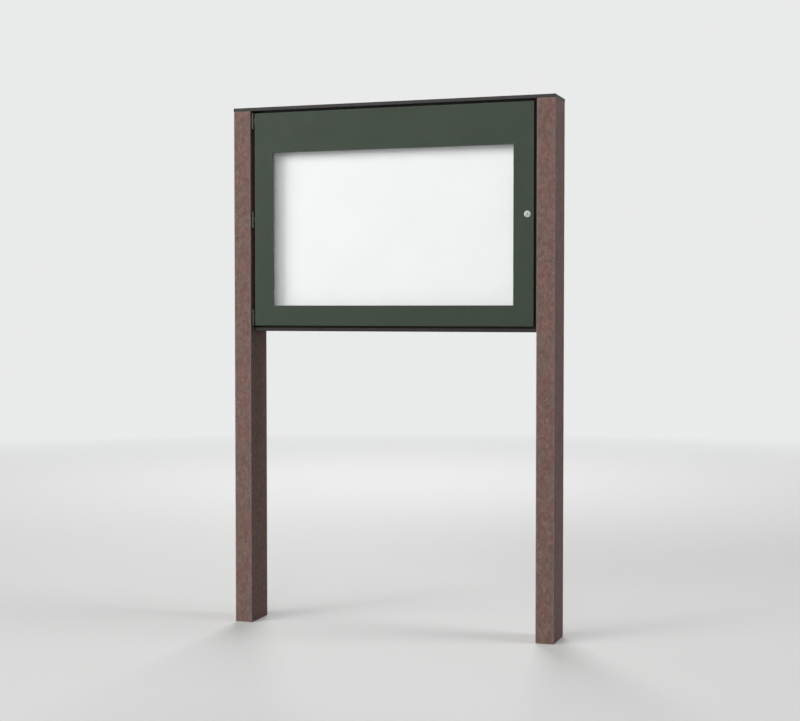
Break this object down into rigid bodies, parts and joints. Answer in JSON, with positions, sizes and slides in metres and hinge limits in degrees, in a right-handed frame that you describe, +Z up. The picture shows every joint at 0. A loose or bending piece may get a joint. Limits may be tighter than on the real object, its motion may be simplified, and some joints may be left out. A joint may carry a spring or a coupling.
{
  "type": "lockable notice board",
  "caption": "Glazed display cabinet hung between two plastic posts, with a side-hinged framed door, a cam lock, a folded cap and a white display panel.",
  "frame": {"origin": "on the ground, midway between the posts and at the middle of their depth", "axes": "+X along the board to the right seen from the front, the front faces -Y, +Z up"},
  "size_m": [1.275, 0.15, 2],
  "materials": {
    "recycled_plastic": "matte, mottled brown, pressed from recycled plastic",
    "black_plastic": "matte",
    "dark_paint": "satin powder coat, dark grey",
    "green_paint": "satin powder coat, grey green",
    "white_panel": "smooth, white",
    "pane": "clear",
    "rubber": "matte",
    "galvanised_steel": "galvanised, dull",
    "stainless_steel": "brushed stainless",
    "screw_steel": "bright zinc",
    "lock_metal": "satin nickel"
  },
  "bodies": {
    "stand": {"back_screws": "screw_steel", "bottom_stop": "dark_paint", "cap_screws": "screw_steel", "case_back": "dark_paint", "case_bottom": "dark_paint", "case_left_side": "dark_paint", "case_right_side": "dark_paint", "case_top": "dark_paint", "display_panel": "white_panel", "door_seal": "rubber", "hinge_screws": "screw_steel", "left_cap_packer": "black_plastic", "left_case_screws": "screw_steel", "left_panel_angle": "galvanised_steel", "left_post": "recycled_plastic", "lock_keeper": "galvanised_steel", "lower_hinge_pin": "stainless_steel", "lower_hinge_post_leaf": "stainless_steel", "middle_hinge_pin": "stainless_steel", "middle_hinge_post_leaf": "stainless_steel", "panel_screws": "screw_steel", "panel_stiffener": "galvanised_steel", "right_cap_packer": "black_plastic", "right_case_screws": "screw_steel", "right_panel_angle": "galvanised_steel", "right_post": "recycled_plastic", "top_cap": "dark_paint", "upper_hinge_pin": "stainless_steel", "upper_hinge_post_leaf": "stainless_steel"},
    "door": {"door_frame": "green_paint", "glazing": "pane", "glazing_gasket": "rubber", "lower_retainer": "galvanised_steel", "upper_retainer": "galvanised_steel", "left_retainer": "galvanised_steel", "right_retainer": "galvanised_steel", "retainer_studs": "screw_steel", "retainer_nuts": "screw_steel", "lower_hinge_door_leaf": "stainless_steel", "middle_hinge_door_leaf": "stainless_steel", "upper_hinge_door_leaf": "stainless_steel", "hinge_rivets": "screw_steel", "lock_body": "lock_metal", "lock_nut": "lock_metal"},
    "lock": {"lock_plug": "lock_metal", "lock_cam": "lock_metal", "cam_screw": "screw_steel"}
  },
  "joints": [
    {"name": "door_swing", "type": "hinge", "parent": "stand", "child": "door", "pos_m": [-0.5625, -0.063, 1.569], "axis": [0, 0, -1], "range_deg": [0, 100]},
    {"name": "lock_turn", "type": "hinge", "parent": "door", "child": "lock", "pos_m": [0.531, -0.063, 1.569], "axis": [0, -1, 0], "range_deg": [0, 90]}
  ]
}
